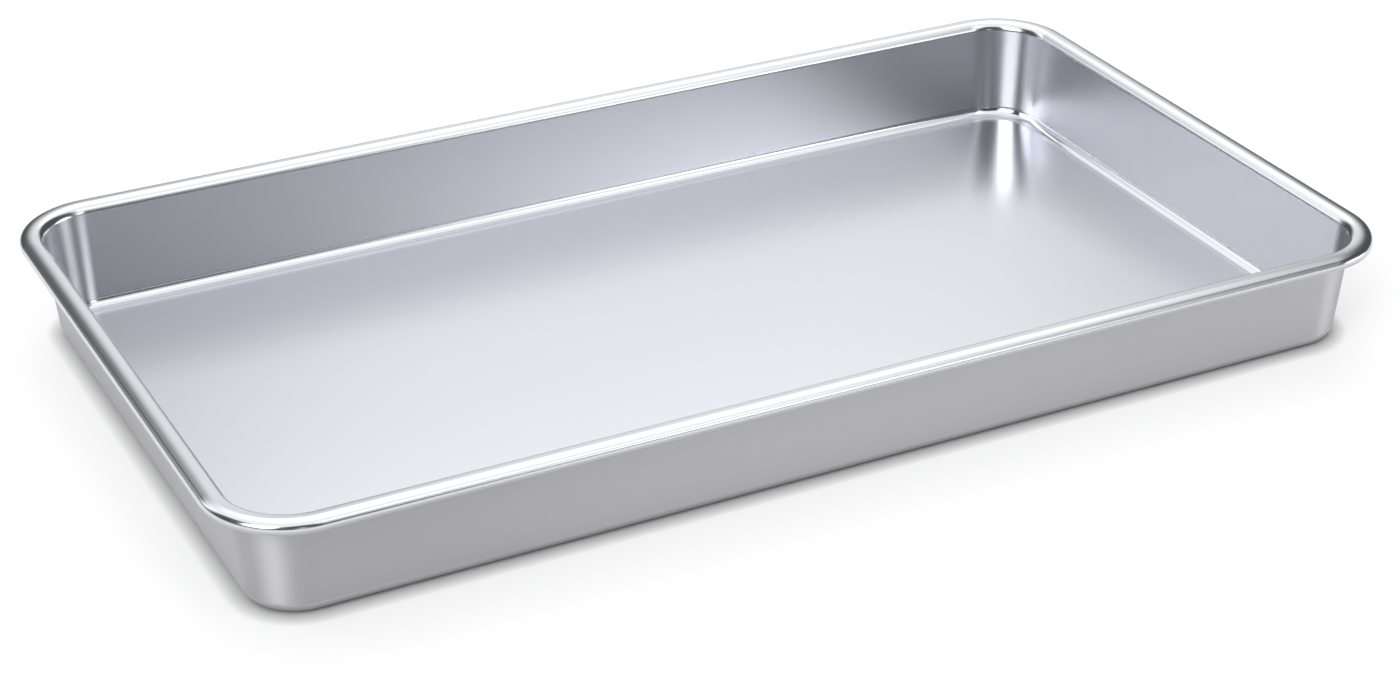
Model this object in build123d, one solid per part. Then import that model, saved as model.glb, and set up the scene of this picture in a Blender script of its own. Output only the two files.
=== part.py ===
from build123d import *
import os
from math import asin, cos, degrees, radians, sin, tan

# Jelly roll pan: a shallow rectangular tray drawn from one aluminium sheet, with a rolled rim
# that closes round a steel reinforcing wire. Sizes are in millimetres and angles in degrees.
# The base stands on z = 0 under the middle of the pan, and the long side lies along X.

# Overall size, measured outside the rolled rim
overall_length = 394.0
overall_width = 230.0
overall_height = 36.0
corner_radius = 27.0

# Sheet, wall and floor
sheet = 0.8
wall_lean_degrees = 5.5
floor_fillet = 3.5

# Rolled rim: the wall flares out over flare_radius, arches gently over the crown, rolls round the wire
# and comes back under the crown almost to the wall. Radii are of the sheet's upper face, and crown_width
# is how far apart the middles of the flare and of the curl lie.
flare_radius = 3.0
crown_radius = 9.0
crown_width = 2.8
seam_gap = 0.3

# Reinforcing wire: one rod bent to the rim's outline, its two ends butted under the long front side
wire_diameter = 2.4
wire_clearance = 0.1
wire_joint_gap = 1.0

# Derived sizes. The section is drawn beside the corner's upright axis, so a distance from that axis
# is also the plan radius that the same point of the section has in the corners.
lean = radians(wall_lean_degrees)
wire_radius = wire_diameter / 2
curl_inner_radius = wire_radius + wire_clearance
curl_radius = curl_inner_radius + sheet
crown_half_turn = asin(crown_width / (2 * crown_radius - flare_radius - curl_radius))
crown_centre = (
    corner_radius - curl_radius - (crown_radius - curl_radius) * sin(crown_half_turn),
    overall_height - crown_radius,
)


def height_under_crown(radius):
    """Height of the middle of an arc of this radius that carries the crown on without a kink."""
    return crown_centre[1] + (crown_radius - radius) * cos(crown_half_turn)


curl_centre = (corner_radius - curl_radius, height_under_crown(curl_radius))
flare_centre = (curl_centre[0] - crown_width, height_under_crown(flare_radius))
wall_top = (flare_centre[0] - flare_radius * cos(lean), flare_centre[1] + flare_radius * sin(lean))
return_bottom = curl_centre[1] - curl_radius
return_top = return_bottom + sheet


def wall_inside_at(height):
    """Distance of the wall's inside face from the corner's axis, at a height on the leaning wall."""
    return wall_top[0] - (wall_top[1] - height) * tan(lean)


fillet_height = sheet + floor_fillet
fillet_centre = (wall_inside_at(fillet_height) - floor_fillet / cos(lean), fillet_height)
wall_outside_at_return = wall_inside_at(return_top) + sheet / cos(lean)
return_edge = wall_outside_at_return + seam_gap
straight_length = overall_length - 2 * corner_radius
straight_width = overall_width - 2 * corner_radius


def sheet_section():
    """The bent sheet cut through one wall: floor fillet, leaning wall, flare, crown, curl and return."""
    rise = 90 - wall_lean_degrees
    half_turn = degrees(crown_half_turn)
    with BuildSketch(Plane.XZ) as section:
        with BuildLine():
            fillet_inside = CenterArc(fillet_centre, floor_fillet, -90, rise)
            flare_top = CenterArc(flare_centre, flare_radius, 90 + rise, half_turn - rise)
            CenterArc(crown_centre, crown_radius, 90 + half_turn, -2 * half_turn)
            curl_outside = CenterArc(curl_centre, curl_radius, 90 - half_turn, half_turn - 180)
            curl_inside = CenterArc(curl_centre, curl_inner_radius, -90, 180 - half_turn)
            CenterArc(crown_centre, crown_radius - sheet, 90 - half_turn, 2 * half_turn)
            flare_under = CenterArc(flare_centre, flare_radius - sheet, 90 + half_turn, rise - half_turn)
            fillet_outside = CenterArc(fillet_centre, floor_fillet + sheet, -wall_lean_degrees, -rise)
            Line(fillet_inside @ 1, flare_top @ 0)
            lip_corners = (return_edge, return_bottom), (return_edge, return_top)
            Polyline(curl_outside @ 1, *lip_corners, curl_inside @ 0)
            Line(flare_under @ 1, fillet_outside @ 0)
            Line(fillet_outside @ 1, fillet_inside @ 0)
        make_face()
    return section.sketch


def wire_section():
    """The round reinforcing wire, centred in the curl."""
    return Plane.XZ * Pos(*curl_centre) * Circle(wire_radius)


def carried_round(section):
    """Carries a section round the pan: a straight side, then a quarter turn, four times over."""
    half_length = straight_length / 2
    half_width = straight_width / 2
    corners = [
        (half_length, half_width),
        (-half_length, half_width),
        (-half_length, -half_width),
        (half_length, -half_width),
    ]
    runs = [straight_width, straight_length, straight_width, straight_length]
    pieces = []
    for quarter, (corner, run) in enumerate(zip(corners, runs)):
        place = Pos(*corner) * Rot(0, 0, 90 * quarter)
        pieces.append(place * extrude(section, run))
        pieces.append(place * revolve(section, Axis.Z, 90))
    return pieces[0].fuse(*pieces[1:]).clean()


def floor_plate():
    """The flat floor, out to where the fillets start."""
    outline = RectangleRounded(
        straight_length + 2 * fillet_centre[0], straight_width + 2 * fillet_centre[0], fillet_centre[0]
    )
    return extrude(outline, sheet)


def pan_body():
    """The whole drawn sheet: floor, walls and rolled rim in one piece."""
    return (carried_round(sheet_section()) + floor_plate()).clean()


def rim_wire():
    """The wire bent round the pan, open by the joint gap in the middle of the front side."""
    ring = carried_round(wire_section())
    joint = Pos(0, -straight_width / 2 - curl_centre[0], curl_centre[1]) * Box(
        wire_joint_gap, 2 * wire_diameter, 2 * wire_diameter
    )
    return ring - joint


os.makedirs("parts", exist_ok=True)
nodes = {"pan_body": pan_body(), "rim_wire": rim_wire()}
for name, shape in nodes.items():
    export_step(shape, f"parts/{name}.step")
    box = shape.bounding_box()
    print(f"{name}: {len(shape.solids())} solid, {box.size.X:.2f} x {box.size.Y:.2f} x {box.size.Z:.2f} mm")
print(f"rim {corner_radius - wall_top[0]:.2f} mm wide and {overall_height - return_bottom:.2f} mm thick")
print(f"floor {straight_length + 2 * fillet_centre[0]:.1f} x {straight_width + 2 * fillet_centre[0]:.1f} mm")
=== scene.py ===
# %% [markdown]
# A jelly roll pan is one sheet of aluminium, pressed into a shallow tray and rolled over a steel wire
# at its rim. This lesson builds the pan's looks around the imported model: it makes the pressed sheet
# again as a finer surface of exactly the same size, gives it a satin metal finish, and lights it as a
# small studio would. Everything is in metres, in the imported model's own frame: +X runs along a long
# side, +Z is up, and the pan stands on z = 0.

# %% Load the frame
import math

import bmesh
import bpy
import numpy as np
from mathutils import Matrix, Vector


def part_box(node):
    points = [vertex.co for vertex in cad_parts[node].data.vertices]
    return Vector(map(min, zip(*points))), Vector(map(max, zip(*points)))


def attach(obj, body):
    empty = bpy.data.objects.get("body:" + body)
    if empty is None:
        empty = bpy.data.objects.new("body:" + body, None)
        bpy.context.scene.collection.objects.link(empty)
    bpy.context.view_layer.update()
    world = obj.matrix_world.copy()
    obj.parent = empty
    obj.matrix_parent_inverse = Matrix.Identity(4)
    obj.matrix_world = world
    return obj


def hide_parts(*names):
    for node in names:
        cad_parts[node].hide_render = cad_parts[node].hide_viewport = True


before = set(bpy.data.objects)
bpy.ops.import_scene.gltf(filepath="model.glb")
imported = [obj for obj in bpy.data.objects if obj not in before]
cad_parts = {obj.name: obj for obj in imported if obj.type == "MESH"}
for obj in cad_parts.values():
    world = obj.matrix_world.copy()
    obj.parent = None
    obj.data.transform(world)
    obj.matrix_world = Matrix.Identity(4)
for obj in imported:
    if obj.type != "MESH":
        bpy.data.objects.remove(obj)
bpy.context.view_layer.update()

# %% [markdown]
# The imported model's boxes give the wire's thickness. The curl closes round the wire, so the
# curl's radius follows from it. The pan's length, width and height, and what no box gives, such as
# the sheet's thickness and the radii of its bends, are written here once, as on the drawing of the
# part. The pan's box is printed beside them.

# %% Sizes of the pan
MM = 0.001
pan_low, pan_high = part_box("pan_body")
wire_low, wire_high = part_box("rim_wire")
half_length = 197.0 * MM
half_width = 115.0 * MM
height = 36.0 * MM
corner_radius = 27.0 * MM
sheet = 0.8 * MM
wall_lean = math.radians(5.5)
floor_fillet = 3.5 * MM
flare_radius = 3.0 * MM
crown_radius = 9.0 * MM
crown_width = 2.8 * MM
wire_clearance = 0.1 * MM
seam_gap = 0.3 * MM
edge_round = 0.2 * MM
curl_radius = (wire_high.z - wire_low.z) / 2 + wire_clearance + sheet
straight_x = half_length - corner_radius
straight_y = half_width - corner_radius
print("pan", [round((high - low) / MM, 1) for low, high in zip(pan_low, pan_high)], "mm")
print("curl radius", round(curl_radius / MM, 2), "mm")

# %% [markdown]
# Cut the sheet through one wall and its outline is a chain of arcs joined by straight stretches: the
# fillet at the floor, the flare under the crown, the curl round the wire and the same bends again on
# the other face of the metal. Each arc gives its points and, at no cost, the exact direction in which
# the surface faces. With those normals a smooth metal reflects cleanly, without the faint bands that
# guessed normals leave beside every bend.


# %% Draw the section of the sheet
def arc(centre, radius, start, end, steps, facing):
    """Points centre + radius * (cos a, sin a) for angles a from start to end, in degrees.

    The normal is facing * (cos a, sin a). Facing is 1 where the metal faces away from the centre."""
    a = np.radians(np.linspace(start, end, steps + 1))
    ray = np.stack([np.cos(a), np.sin(a)], axis=1)
    return np.asarray(centre) + radius * ray, facing * ray


same_place = 0.001 * MM
slack = 0.01


def joined(pieces, longest):
    """Chains the pieces end to end. The straight stretches between have parts of at most longest.

    The slack keeps a stretch a hair longer than a whole number of parts from getting one more."""
    points, normals = [pieces[0][0]], [pieces[0][1]]
    for more_points, more_normals in pieces[1:]:
        start, end = points[-1][-1], more_points[0]
        gap = np.linalg.norm(end - start)
        share = np.linspace(0, 1, math.ceil(gap / longest - slack) + 1)[1:-1, None]
        meets = int(gap < same_place)
        points += [start + share * (end - start), more_points[meets:]]
        normals += [np.repeat(more_normals[:1], len(share), axis=0), more_normals[meets:]]
    return np.concatenate(points), np.concatenate(normals)


lean_degrees = math.degrees(wall_lean)
half_turn = math.asin(crown_width / (2 * crown_radius - flare_radius - curl_radius))
half_turn_degrees = math.degrees(half_turn)


def centre_under_crown(radius, side):
    """Centre of an arc that carries the crown on smoothly: both arcs share one ray at their joint."""
    reach = crown_radius - radius
    return crown_centre + reach * np.array([side * math.sin(half_turn), math.cos(half_turn)])


crown_across = corner_radius - curl_radius - (crown_radius - curl_radius) * math.sin(half_turn)
crown_centre = np.array([crown_across, height - crown_radius])
curl_centre = centre_under_crown(curl_radius, 1)
flare_centre = centre_under_crown(flare_radius, -1)
wall_top = flare_centre + flare_radius * np.array([-math.cos(wall_lean), math.sin(wall_lean)])


def wall_inside_at(level):
    """Distance of the wall's inside face from the corner's axis, at a level on the leaning wall."""
    return wall_top[0] - (wall_top[1] - level) * math.tan(wall_lean)


fillet_level = sheet + floor_fillet
fillet_across = wall_inside_at(fillet_level) - floor_fillet / math.cos(wall_lean)
fillet_centre = np.array([fillet_across, fillet_level])
lip_bottom = curl_centre[1] - curl_radius
lip_end = wall_inside_at(lip_bottom + sheet) + sheet / math.cos(wall_lean) + seam_gap
lip_round_x = lip_end + edge_round
up, down, inwards = 90, -90, 180
wall_end = inwards - lean_degrees
crown_start, crown_end = up + half_turn_degrees, up - half_turn_degrees
bend_steps, crown_steps, curl_steps, edge_steps = 14, 8, 30, 4
inner_curl_steps, inner_crown_steps, inner_flare_steps = 18, 4, 10
longest_stretch = 4.5 * MM
on_floor = (np.array([[0.0, sheet]]), np.array([[0.0, 1.0]]))
under_floor = (np.array([[0.0, 0.0]]), np.array([[0.0, -1.0]]))
section, section_normals = joined(
    [
        on_floor,
        arc(fillet_centre, floor_fillet, down, -lean_degrees, bend_steps, -1),
        arc(flare_centre, flare_radius, wall_end, crown_start, bend_steps, 1),
        arc(crown_centre, crown_radius, crown_start, crown_end, crown_steps, 1),
        arc(curl_centre, curl_radius, crown_end, down, curl_steps, 1),
        arc((lip_round_x, lip_bottom + edge_round), edge_round, inwards + up, inwards, edge_steps, 1),
        arc((lip_round_x, lip_bottom + sheet - edge_round), edge_round, inwards, up, edge_steps, 1),
        arc(curl_centre, curl_radius - sheet, down, crown_end, inner_curl_steps, -1),
        arc(crown_centre, crown_radius - sheet, crown_end, crown_start, inner_crown_steps, -1),
        arc(flare_centre, flare_radius - sheet, crown_start, wall_end, inner_flare_steps, -1),
        arc(fillet_centre, floor_fillet + sheet, -lean_degrees, down, bend_steps, 1),
        under_floor,
    ],
    longest=longest_stretch,
)
section_run = np.concatenate([[0.0], np.cumsum(np.linalg.norm(np.diff(section, axis=0), axis=1))])
wire_level = (wire_low.z + wire_high.z) / 2
print("curl centre level", round(curl_centre[1] / MM, 3), "mm")
print("wire centre level", round(wire_level / MM, 3), "mm")
print("section points", len(section), "and its length", round(section_run[-1] / MM, 1), "mm")

# %% [markdown]
# The whole pan is that one section carried round a rail. The rail is the rectangle between the four
# upright corner axes: along a side the section slides, and at a corner it turns through a quarter
# circle about the axis. Because the section turns about one fixed axis, each corner gets its true
# cone, torus and cylinder faces, tighter at the floor than at the rim, as a pressed corner is.


# %% Lay the rail
def rail(corner_steps, long_steps, short_steps):
    """Anchor points and outward directions round the pan, anticlockwise from the back right corner.

    In quarter q the direction turns from 90q to 90q + 90 degrees about corner q, then the anchor slides
    from corner q to corner q + 1 with the direction held."""
    corners = np.array([[1, 1], [-1, 1], [-1, -1], [1, -1], [1, 1]]) * [straight_x, straight_y]
    anchors, angles = [], []
    for quarter, run_steps in enumerate([long_steps, short_steps, long_steps, short_steps]):
        turn = np.linspace(0, 90, corner_steps, endpoint=False)
        slide = np.linspace(0, 1, run_steps, endpoint=False)[:, None]
        anchors += [
            np.repeat(corners[quarter : quarter + 1], corner_steps, axis=0),
            corners[quarter] + slide * (corners[quarter + 1] - corners[quarter]),
        ]
        angles += [90 * quarter + turn, np.full(run_steps, 90 * quarter + 90.0)]
    angle = np.radians(np.concatenate(angles))
    return np.concatenate(anchors), np.stack([np.cos(angle), np.sin(angle)], axis=1)


corner_steps, long_steps, short_steps = 28, 34, 18
anchors, directions = rail(corner_steps, long_steps, short_steps)
outline = anchors + directions * corner_radius
outline_steps = np.linalg.norm(np.roll(outline, -1, axis=0) - outline, axis=1)
rail_run = np.concatenate([[0.0], np.cumsum(outline_steps)])
print("rail stations", len(anchors), "and the rim's outline", round(rail_run[-1] / MM), "mm")

# %% [markdown]
# Now the surface is a grid, with one row for each point of the section and one column for each
# station of the rail. A point is the anchor plus its direction times the section's distance from the
# axis, lifted to the section's height. The floor inside the rail is a plain grid whose border meets
# the swept part point for point, so merging doubles closes the skin. The exact normals are carried
# round in the same way.


# %% Carry the section round the rail
def swept(section, section_normals, anchors, directions):
    """Grid points (anchor + direction * distance, height) and normals (direction * across, up)."""
    flat = anchors[None] + directions[None] * section[:, 0, None, None]
    tall = np.broadcast_to(section[:, 1, None, None], (*flat.shape[:2], 1))
    across = directions[None] * section_normals[:, 0, None, None]
    rise = np.broadcast_to(section_normals[:, 1, None, None], tall.shape)
    return np.concatenate([flat, tall], axis=2), np.concatenate([across, rise], axis=2)


def cells(number):
    """The four corner numbers of each cell of a numbered grid, in their order round the cell."""
    corners = [number[:-1, :-1], number[1:, :-1], number[1:, 1:], number[:-1, 1:]]
    return np.stack(corners, axis=2).reshape(-1, 4)


def swept_faces(rows, columns):
    """The quads of a grid that closes on itself from its last column to its first."""
    number = np.arange(rows * columns).reshape(rows, columns)
    return cells(np.concatenate([number, number[:, :1]], axis=1))


def plate(level, facing, first):
    """The floor inside the rail: a grid at one level, its quads turned to face up (1) or down (-1)."""
    x, y = np.meshgrid(
        np.linspace(-straight_x, straight_x, long_steps + 1),
        np.linspace(-straight_y, straight_y, short_steps + 1),
        indexing="ij",
    )
    points = np.stack([x, y, np.full_like(x, level)], axis=2).reshape(-1, 3)
    quads = cells(first + np.arange(x.size).reshape(x.shape))
    return points, np.tile([0.0, 0.0, facing], (len(points), 1)), quads[:, ::facing]


skin, skin_normals = swept(section, section_normals, anchors, directions)
inside_floor = plate(sheet, 1, skin[..., 0].size)
underside = plate(0.0, -1, skin[..., 0].size + len(inside_floor[0]))
vertices = np.concatenate([skin.reshape(-1, 3), inside_floor[0], underside[0]])
normals = np.concatenate([skin_normals.reshape(-1, 3), inside_floor[1], underside[1]])
quads = np.concatenate([swept_faces(len(section), len(anchors)), inside_floor[2], underside[2]])
print("grid", len(vertices), "points and", len(quads), "quads")

# %% [markdown]
# Three masks follow from the shape alone, because the tools that shaped the sheet also changed its
# face. The rolled mask is 1 on the crown and the curl, where the rolling wheel ran. The bent mask is
# 1 in the floor's fillet, which the punch has polished. The outside mask is 1 below the rim on the
# outer face, which is handled and slid on shelves, and so is rougher. The same mask darkens the
# colour there and on the lower part of the curl. That is painted shade, standing in for the shadowed
# floor that these faces mirror and for the shade under the curl. Two more values measure how far a
# point lies round the pan and across the metal, for the grain. The straight walls get materials of
# their own further on, one for their inside and one for their outside.


# %% Make the pressed sheet
def smooth_between(low, high, x):
    """0 below low, 1 above high, and the S-shaped cubic 3s^2 - 2s^3 between."""
    s = np.clip((x - low) / (high - low), 0, 1)
    return s * s * (3 - 2 * s)


def over_the_pan(on_section, on_inside_floor, on_underside):
    """One value per vertex: the section's values repeated round the rail, and one for each plate."""
    plate_size = len(inside_floor[0])
    round_the_rail = np.repeat(on_section, len(anchors))
    plates = [np.full(plate_size, on_inside_floor), np.full(plate_size, on_underside)]
    return np.concatenate([round_the_rail, *plates])


level = section[:, 1]
past_the_curl = np.arange(len(section)) > section[:, 0].argmax()
low_enough = smooth_between(curl_centre[1] + curl_radius / 2, wall_top[1], level)
off_the_floor = smooth_between(0, floor_fillet / 2, section[:, 0] - fillet_centre[0])
up_the_wall = smooth_between(fillet_level / 2, fillet_level, level)
in_fillet = off_the_floor * (1 - up_the_wall)
plates_x = [inside_floor[0][:, 0], underside[0][:, 0]]
plates_y = [inside_floor[0][:, 1], underside[0][:, 1]]
masks = {
    "rolled": over_the_pan(smooth_between(wall_top[1], curl_centre[1] + sheet, level), 0, 0),
    "bent": over_the_pan(in_fillet * ~past_the_curl, 0, 0),
    "outside": over_the_pan(low_enough * past_the_curl, 0, 1),
    "along": np.concatenate([np.tile(rail_run[:-1], len(section)), *plates_x]),
    "across": np.concatenate([np.repeat(section_run, len(anchors)), *plates_y]),
}
inside_walls, outside_walls = 1, 2
just_above_the_wall = wall_top[1] + sheet / 10
leans_like_the_wall = np.isclose(np.abs(section_normals[:, 1]), math.sin(wall_lean))
straight = leans_like_the_wall & (level < just_above_the_wall)
wall_rows = straight[:-1] & straight[1:]
finish_of_row = np.where(past_the_curl[:-1], outside_walls, inside_walls) * wall_rows
finish_of_quad = np.repeat(finish_of_row, len(anchors))


def pan_mesh(name):
    """The pressed sheet as one closed mesh, with its exact normals, its masks and its walls marked."""
    mesh = bpy.data.meshes.new(name)
    mesh.from_pydata(vertices.tolist(), [], quads.tolist())
    exact = mesh.attributes.new("exact_normal", "FLOAT_VECTOR", "POINT")
    exact.data.foreach_set("vector", normals.ravel())
    for mask, values in masks.items():
        mesh.attributes.new(mask, "FLOAT", "POINT").data.foreach_set("value", values)
    material_index = np.zeros(len(quads), dtype=np.int32)
    material_index[: len(finish_of_quad)] = finish_of_quad
    mesh.polygons.foreach_set("material_index", material_index)
    return mesh


def welded(mesh, reach):
    """Merges points nearer than reach, which closes the grids into one skin, and sets exact normals."""
    work = bmesh.new()
    work.from_mesh(mesh)
    bmesh.ops.remove_doubles(work, verts=work.verts, dist=reach)
    work.to_mesh(mesh)
    work.free()
    wanted = np.zeros(len(mesh.vertices) * 3)
    mesh.attributes["exact_normal"].data.foreach_get("vector", wanted)
    mesh.attributes.remove(mesh.attributes["exact_normal"])
    mesh.shade_smooth()
    mesh.normals_split_custom_set_from_vertices(wanted.reshape(-1, 3))
    mesh.validate()
    return mesh


weld_reach = 0.002 * MM
pan = bpy.data.objects.new("pressed_pan", welded(pan_mesh("pressed_pan"), weld_reach))
bpy.context.scene.collection.objects.link(pan)
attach(pan, "root")
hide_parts("pan_body")
print("pressed_pan", len(pan.data.vertices), "points and", len(pan.data.polygons), "faces")

# %% [markdown]
# Shader maths reads best as ordinary Python. A Signal wraps one output of a node, and an expression
# on signals adds its Math nodes. Every other kind of node comes from the one method called node.


# %% Write shader maths as expressions
class Signal:
    """One output socket of a node tree."""

    def __init__(self, tree, socket=None):
        self.tree = tree
        self.socket = socket

    def node(self, kind, settings=None, sockets=None, out=0):
        """Adds a node, sets its settings, sets or links its sockets, and wraps one of its outputs."""
        made = self.tree.nodes.new(kind)
        for setting, value in (settings or {}).items():
            setattr(made, setting, value)
        for socket, value in (sockets or {}).items():
            if isinstance(value, Signal):
                self.tree.links.new(value.socket, made.inputs[socket])
            else:
                made.inputs[socket].default_value = value
        return Signal(self.tree, made.outputs[out] if made.outputs else None)

    def maths(self, operation, first, second):
        return self.node("ShaderNodeMath", {"operation": operation}, {0: first, 1: second})

    def dot(self, vector):
        settings = {"operation": "DOT_PRODUCT"}
        return self.node("ShaderNodeVectorMath", settings, {0: self, 1: vector}, out="Value")

    def between(self, low, high, start=0.0, end=1.0):
        """start below low, end above high, and a smooth S-shaped passage between."""
        settings = {"interpolation_type": "SMOOTHSTEP"}
        sockets = {"Value": self, "From Min": low, "From Max": high, "To Min": start, "To Max": end}
        return self.node("ShaderNodeMapRange", settings, sockets)

    def inside(self, half, edge):
        """1 between -half and half and 0 beyond, with a soft border of edge to either side of both."""
        return self.maths("ABSOLUTE", self, 0.0).between(half - edge, half + edge, 1.0, 0.0)

    def __add__(self, other):
        return self.maths("ADD", self, other)

    def __radd__(self, other):
        return self.maths("ADD", other, self)

    def __sub__(self, other):
        return self.maths("SUBTRACT", self, other)

    def __rsub__(self, other):
        return self.maths("SUBTRACT", other, self)

    def __mul__(self, other):
        return self.maths("MULTIPLY", self, other)

    def __rmul__(self, other):
        return self.maths("MULTIPLY", other, self)

    def __truediv__(self, other):
        return self.maths("DIVIDE", self, other)


def new_material(name):
    """An empty node material and a Signal to build it with."""
    material = bpy.data.materials.new(name)
    material.use_nodes = True
    material.node_tree.nodes.clear()
    return material, Signal(material.node_tree)


print("shader maths ready")

# %% [markdown]
# Bakeware aluminium is left as it comes from the press: a satin grey metal whose finest scratches run
# along the floor and, on the walls, round the pan, the way the sheet slid over the die. Scratches
# that all lie one way spread a reflection across them and keep it narrow along them. That is why the
# corners of a drawn pan show upright streaks of light, and why the walls need a directional finish
# while the floor does not. The outside of the walls is rougher and its scratches lie more nearly one
# way. Its colour is also darker, which is painted shade for the shadowed floor that it mirrors. On
# top of that a faint grain and some soft patches stir the roughness, as no pressed sheet is quite
# even.

# %% Satin aluminium
sheet_colour = (0.66, 0.668, 0.705, 1)
# The darker outside colour is painted shade: it stands in for the shadowed floor that the outer faces
# mirror.
painted_shade_colour = (0.56, 0.56, 0.575, 1)
floor_roughness, rolled_roughness, bent_roughness = 0.21, 0.17, 0.10
wall_roughness, outside_roughness = 0.29, 0.50
wall_direction, outside_direction, quarter_turn = 0.6, 0.85, 0.25
lines_along, lines_across, patches_per_metre = 60, 1500, 14
grain_detail, patch_detail = 3.0, 2.0
grain_strength, patch_strength = 0.03, 0.02
middle_grey = 0.5


def satin_aluminium(name, roughness, direction):
    """Metal whose roughness moves to the rolled, bent and outside ones, stirred by a faint grain."""
    material, graph = new_material(name)
    place = graph.node("ShaderNodeTexCoord", out=3)
    rolled = graph.node("ShaderNodeAttribute", {"attribute_name": "rolled"}, out=2)
    bent = graph.node("ShaderNodeAttribute", {"attribute_name": "bent"}, out=2)
    outside = graph.node("ShaderNodeAttribute", {"attribute_name": "outside"}, out=2)
    along = graph.node("ShaderNodeAttribute", {"attribute_name": "along"}, out=2)
    across = graph.node("ShaderNodeAttribute", {"attribute_name": "across"}, out=2)
    stretched = {"X": along * lines_along, "Y": across * lines_across}
    lines = graph.node("ShaderNodeCombineXYZ", {}, stretched)
    strokes = {"Vector": lines, "Scale": 1.0, "Detail": grain_detail}
    grain = graph.node("ShaderNodeTexNoise", {}, strokes)
    clouds = {"Vector": place, "Scale": patches_per_metre, "Detail": patch_detail}
    patches = graph.node("ShaderNodeTexNoise", {}, clouds)
    polish = rolled * (rolled_roughness - roughness) + bent * (bent_roughness - roughness)
    polish = polish + outside * (outside_roughness - roughness)
    stirred = roughness + polish + (grain - middle_grey) * grain_strength
    stirred = stirred + (patches - middle_grey) * patch_strength
    # Where the outside mask is 1 the colour darkens. This is painted shade for the mirrored shadowed
    # floor and the shade under the curl.
    colours = {"Factor": outside, "A": sheet_colour, "B": painted_shade_colour}
    colour = graph.node("ShaderNodeMix", {"data_type": "RGBA"}, colours, out=2)
    finish = {"Base Color": colour, "Metallic": 1.0, "Roughness": stirred}
    finish |= {"Anisotropic": direction, "Anisotropic Rotation": quarter_turn}
    metal = graph.node("ShaderNodeBsdfPrincipled", {}, finish)
    graph.node("ShaderNodeOutputMaterial", {}, {"Surface": metal})
    return material


pan.data.materials.append(satin_aluminium("satin_floor_and_rim", floor_roughness, 0.0))
pan.data.materials.append(satin_aluminium("satin_inside_walls", wall_roughness, wall_direction))
pan.data.materials.append(satin_aluminium("satin_outside_walls", outside_roughness, outside_direction))
print("satin aluminium on pressed_pan")

# %% [markdown]
# The wire is hidden in the curl, but it is a real piece and keeps its own finish: galvanised steel
# with the mottled grey of zinc. A cloudy noise chooses between two greys and stirs the roughness with
# them.

# %% Galvanised wire
dark_zinc, pale_zinc = (0.50, 0.51, 0.53, 1), (0.68, 0.69, 0.71, 1)
clouds_per_metre, cloud_detail = 700.0, 4.0
zinc_roughness, cloud_strength = 0.3, 0.3


def galvanised_steel():
    """Grey zinc on steel: colour and roughness follow one cloudy noise."""
    material, graph = new_material("galvanised_steel")
    place = graph.node("ShaderNodeTexCoord", out=3)
    mottle = {"Vector": place, "Scale": clouds_per_metre, "Detail": cloud_detail}
    cloud = graph.node("ShaderNodeTexNoise", {}, mottle)
    greys = {"Factor": cloud, "A": dark_zinc, "B": pale_zinc}
    colour = graph.node("ShaderNodeMix", {"data_type": "RGBA"}, greys, out=2)
    roughness = zinc_roughness + cloud * cloud_strength
    finish = {"Base Color": colour, "Metallic": 1.0, "Roughness": roughness}
    metal = graph.node("ShaderNodeBsdfPrincipled", {}, finish)
    graph.node("ShaderNodeOutputMaterial", {}, {"Surface": metal})
    return material


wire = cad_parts["rim_wire"]
wire.data.materials.clear()
wire.data.materials.append(galvanised_steel())
print("galvanised_steel on rim_wire")

# %% [markdown]
# The camera stands where the photograph was taken from. Its direction, distance and lens were solved
# from the pan's edges in the picture, whose frame is 1400 by 700 pixels.

# %% Camera
frame_width = 1400
focal_pixels = 3000.0
azimuth, elevation, roll = math.radians(-26.74), math.radians(28.12), math.radians(-0.33)
target = Vector((-5.9, -14.9, 0.0)) * MM
distance = 972.0 * MM
sensor_width = 36.0
nearest, furthest = 0.05, 50.0


def camera_axes(azimuth, elevation, roll):
    """Right, up and back. Back points from the target to the camera, and the others roll about it."""
    flat = math.cos(elevation)
    back = Vector((math.sin(azimuth) * flat, -math.cos(azimuth) * flat, math.sin(elevation)))
    right = Vector((0, 0, 1)).cross(back).normalized()
    above = back.cross(right)
    turned_right = right * math.cos(roll) + above * math.sin(roll)
    turned_up = above * math.cos(roll) - right * math.sin(roll)
    return turned_right, turned_up, back


right, above, back = camera_axes(azimuth, elevation, roll)
lens = bpy.data.cameras.new("camera")
lens.sensor_width = sensor_width
lens.lens = sensor_width * focal_pixels / frame_width
lens.clip_start, lens.clip_end = nearest, furthest
camera = bpy.data.objects.new("camera", lens)
turn = Matrix((right, above, back)).transposed().to_4x4()
camera.matrix_world = Matrix.Translation(target + back * distance) @ turn
bpy.context.scene.collection.objects.link(camera)
bpy.context.scene.camera = camera
print("camera at", [round(v, 3) for v in camera.location], "with a", round(lens.lens, 1), "mm lens")
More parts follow.
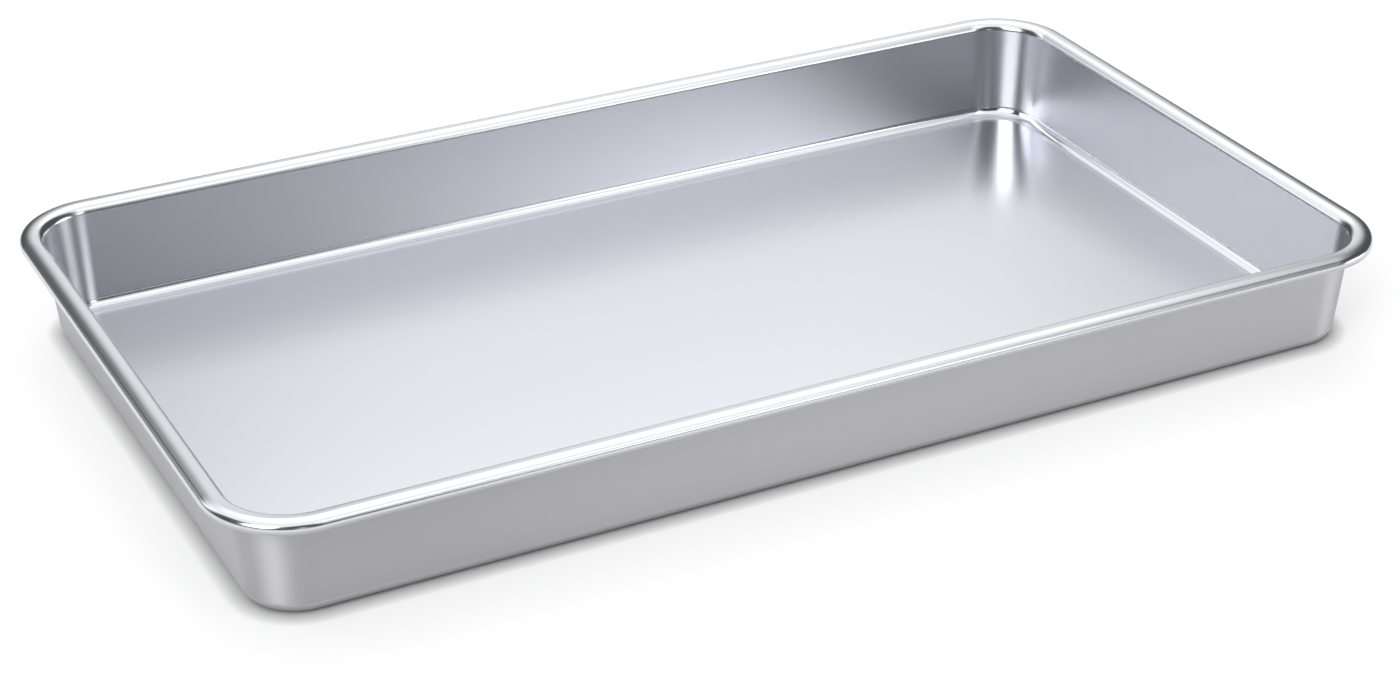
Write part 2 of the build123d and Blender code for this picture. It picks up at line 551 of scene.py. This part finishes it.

# %% [markdown]
# The floor is a plain white sweep. It is a real surface, so the pan's shadow falls on it. Half of its
# white is paint, which takes that shadow. The other half is a glow that only the camera and the metal
# see, which lifts the picture's background to white without more light on the pan. The glow is held
# back within a few millimetres of the pan, where little open air is left, and that paints a dark
# contact shadow where metal meets floor. The floor lies a hair below the pan, so that the two never
# share a plane.

# %% Floor
floor_size = 6.0
below_the_pan = 0.02 * MM
white = (1, 1, 1, 1)
floor_paint = (0.5, 0.5, 0.5, 1)
floor_lift = 0.52
contact_reach = 6.0 * MM
floor_mesh = bpy.data.meshes.new("studio_floor")
floor_corners = floor_size * np.array([(-1, -1, 0), (1, -1, 0), (1, 1, 0), (-1, 1, 0)])
floor_mesh.from_pydata(floor_corners.tolist(), [], [(0, 1, 2, 3)])
studio_floor = bpy.data.objects.new("studio_floor", floor_mesh)
studio_floor.location.z = -below_the_pan
bpy.context.scene.collection.objects.link(studio_floor)
floor_material, floor_graph = new_material("white_floor")
seen = floor_graph.node("ShaderNodeLightPath", out="Is Camera Ray")
seen = seen + floor_graph.node("ShaderNodeLightPath", out="Is Glossy Ray")
seen = seen + floor_graph.node("ShaderNodeLightPath", out="Is Transmission Ray")
open_air = floor_graph.node("ShaderNodeAmbientOcclusion", {}, {"Distance": contact_reach}, out="AO")
paint = floor_graph.node("ShaderNodeBsdfDiffuse", {}, {"Color": floor_paint})
# Squaring the open air dims the glow near the pan, which paints the dark contact shadow.
lifted = {"Color": white, "Strength": seen * open_air * open_air * floor_lift}
glow = floor_graph.node("ShaderNodeEmission", {}, lifted)
both = floor_graph.node("ShaderNodeAddShader", {}, {0: paint, 1: glow})
floor_graph.node("ShaderNodeOutputMaterial", {}, {"Surface": both})
floor_mesh.materials.append(floor_material)
print("studio_floor", 2 * floor_size, "m wide")

# %% [markdown]
# Metal shows what stands round it, so a studio is built for the metal as much as for the light. This
# one is a dim room with soft boxes, and each box is there for something that the pan shows. The wide
# one overhead and the tall one behind light the pan's floor. The low strip to the front right is
# mirrored in the long back wall, and the wide dim box above it brightens the floor near that wall.
# The box to the back left is mirrored in the right wall. The box to the front left stands as a bright
# streak in the far corner. The two low ones on the right draw the bright lines in the floor's fillet,
# and the small one in front lifts the left end. Between them the dim room draws the dark lines along
# the rim. All of it is painted on the world, far away, in brightness where 1 is white.


# %% Studio light
world = bpy.data.worlds.new("studio")
world.use_nodes = True
world.node_tree.nodes.clear()
bpy.context.scene.world = world
studio = Signal(world.node_tree)
looking = studio.node("ShaderNodeTexCoord")
grazing = 0.05
print("studio world ready")


def soft_box(azimuth, elevation, half_width, half_height, edge, brightness):
    """Brightness that one soft box adds in the direction looking: brightness inside it and 0 outside.

    The box is a far rectangle square to its centre line c, so the direction d meets its plane at
    (d.right / d.c, d.up / d.c), and lies inside where both are below the tangents of the half sizes.
    Azimuth 0 lies in front of the pan and 90 on its right. Edge is half the width of the soft border."""
    turn, rise = math.radians(azimuth), math.radians(elevation)
    centre = (math.sin(turn) * math.cos(rise), -math.cos(turn) * math.cos(rise), math.sin(rise))
    right = (math.cos(turn), math.sin(turn), 0.0)
    up = (-math.sin(turn) * math.sin(rise), math.cos(turn) * math.sin(rise), math.cos(rise))
    ahead = looking.dot(centre)
    reach = ahead.maths("MAXIMUM", ahead, grazing)
    across = (looking.dot(right) / reach).inside(math.tan(math.radians(half_width)), edge)
    along = (looking.dot(up) / reach).inside(math.tan(math.radians(half_height)), edge)
    return across * along * ahead.maths("GREATER_THAN", ahead, grazing) * brightness


# %% [markdown]
# Each box was placed by following a reflection back from the camera, off the metal and out into the
# room, and its brightness was fitted to the picture. All angles are in degrees, as seen from the pan.
# The room's own light, a tenth of white, is what the metal shows between the boxes.

# %% Place the soft boxes
room = 0.10
overhead = soft_box(azimuth=175, elevation=82, half_width=36, half_height=46, edge=0.2, brightness=1.2)
behind = soft_box(azimuth=154, elevation=35, half_width=13, half_height=32, edge=0.15, brightness=0.93)
back_left = soft_box(azimuth=222, elevation=26, half_width=8, half_height=16, edge=0.2, brightness=1.7)
front_left = soft_box(azimuth=298, elevation=33, half_width=15, half_height=16, edge=0.12, brightness=5.2)
front_small = soft_box(azimuth=350, elevation=12, half_width=2, half_height=6, edge=0.1, brightness=2.0)
front_strip = soft_box(azimuth=27, elevation=17, half_width=5, half_height=9, edge=0.08, brightness=3.0)
front_high = soft_box(azimuth=27, elevation=42, half_width=12, half_height=14, edge=0.15, brightness=1.1)
right_low = soft_box(azimuth=60, elevation=5, half_width=9, half_height=12, edge=0.15, brightness=2.6)
right_horizon = soft_box(azimuth=64, elevation=0, half_width=18, half_height=7, edge=0.1, brightness=3.4)
light = room + overhead + behind + back_left + front_left
light = light + front_small + front_strip + front_high + right_low + right_horizon
sky = studio.node("ShaderNodeBackground", {}, {"Color": white, "Strength": light})
studio.node("ShaderNodeOutputWorld", {}, {"Surface": sky})
bpy.context.scene.view_settings.view_transform = "Standard"
print("world nodes", len(world.node_tree.nodes))
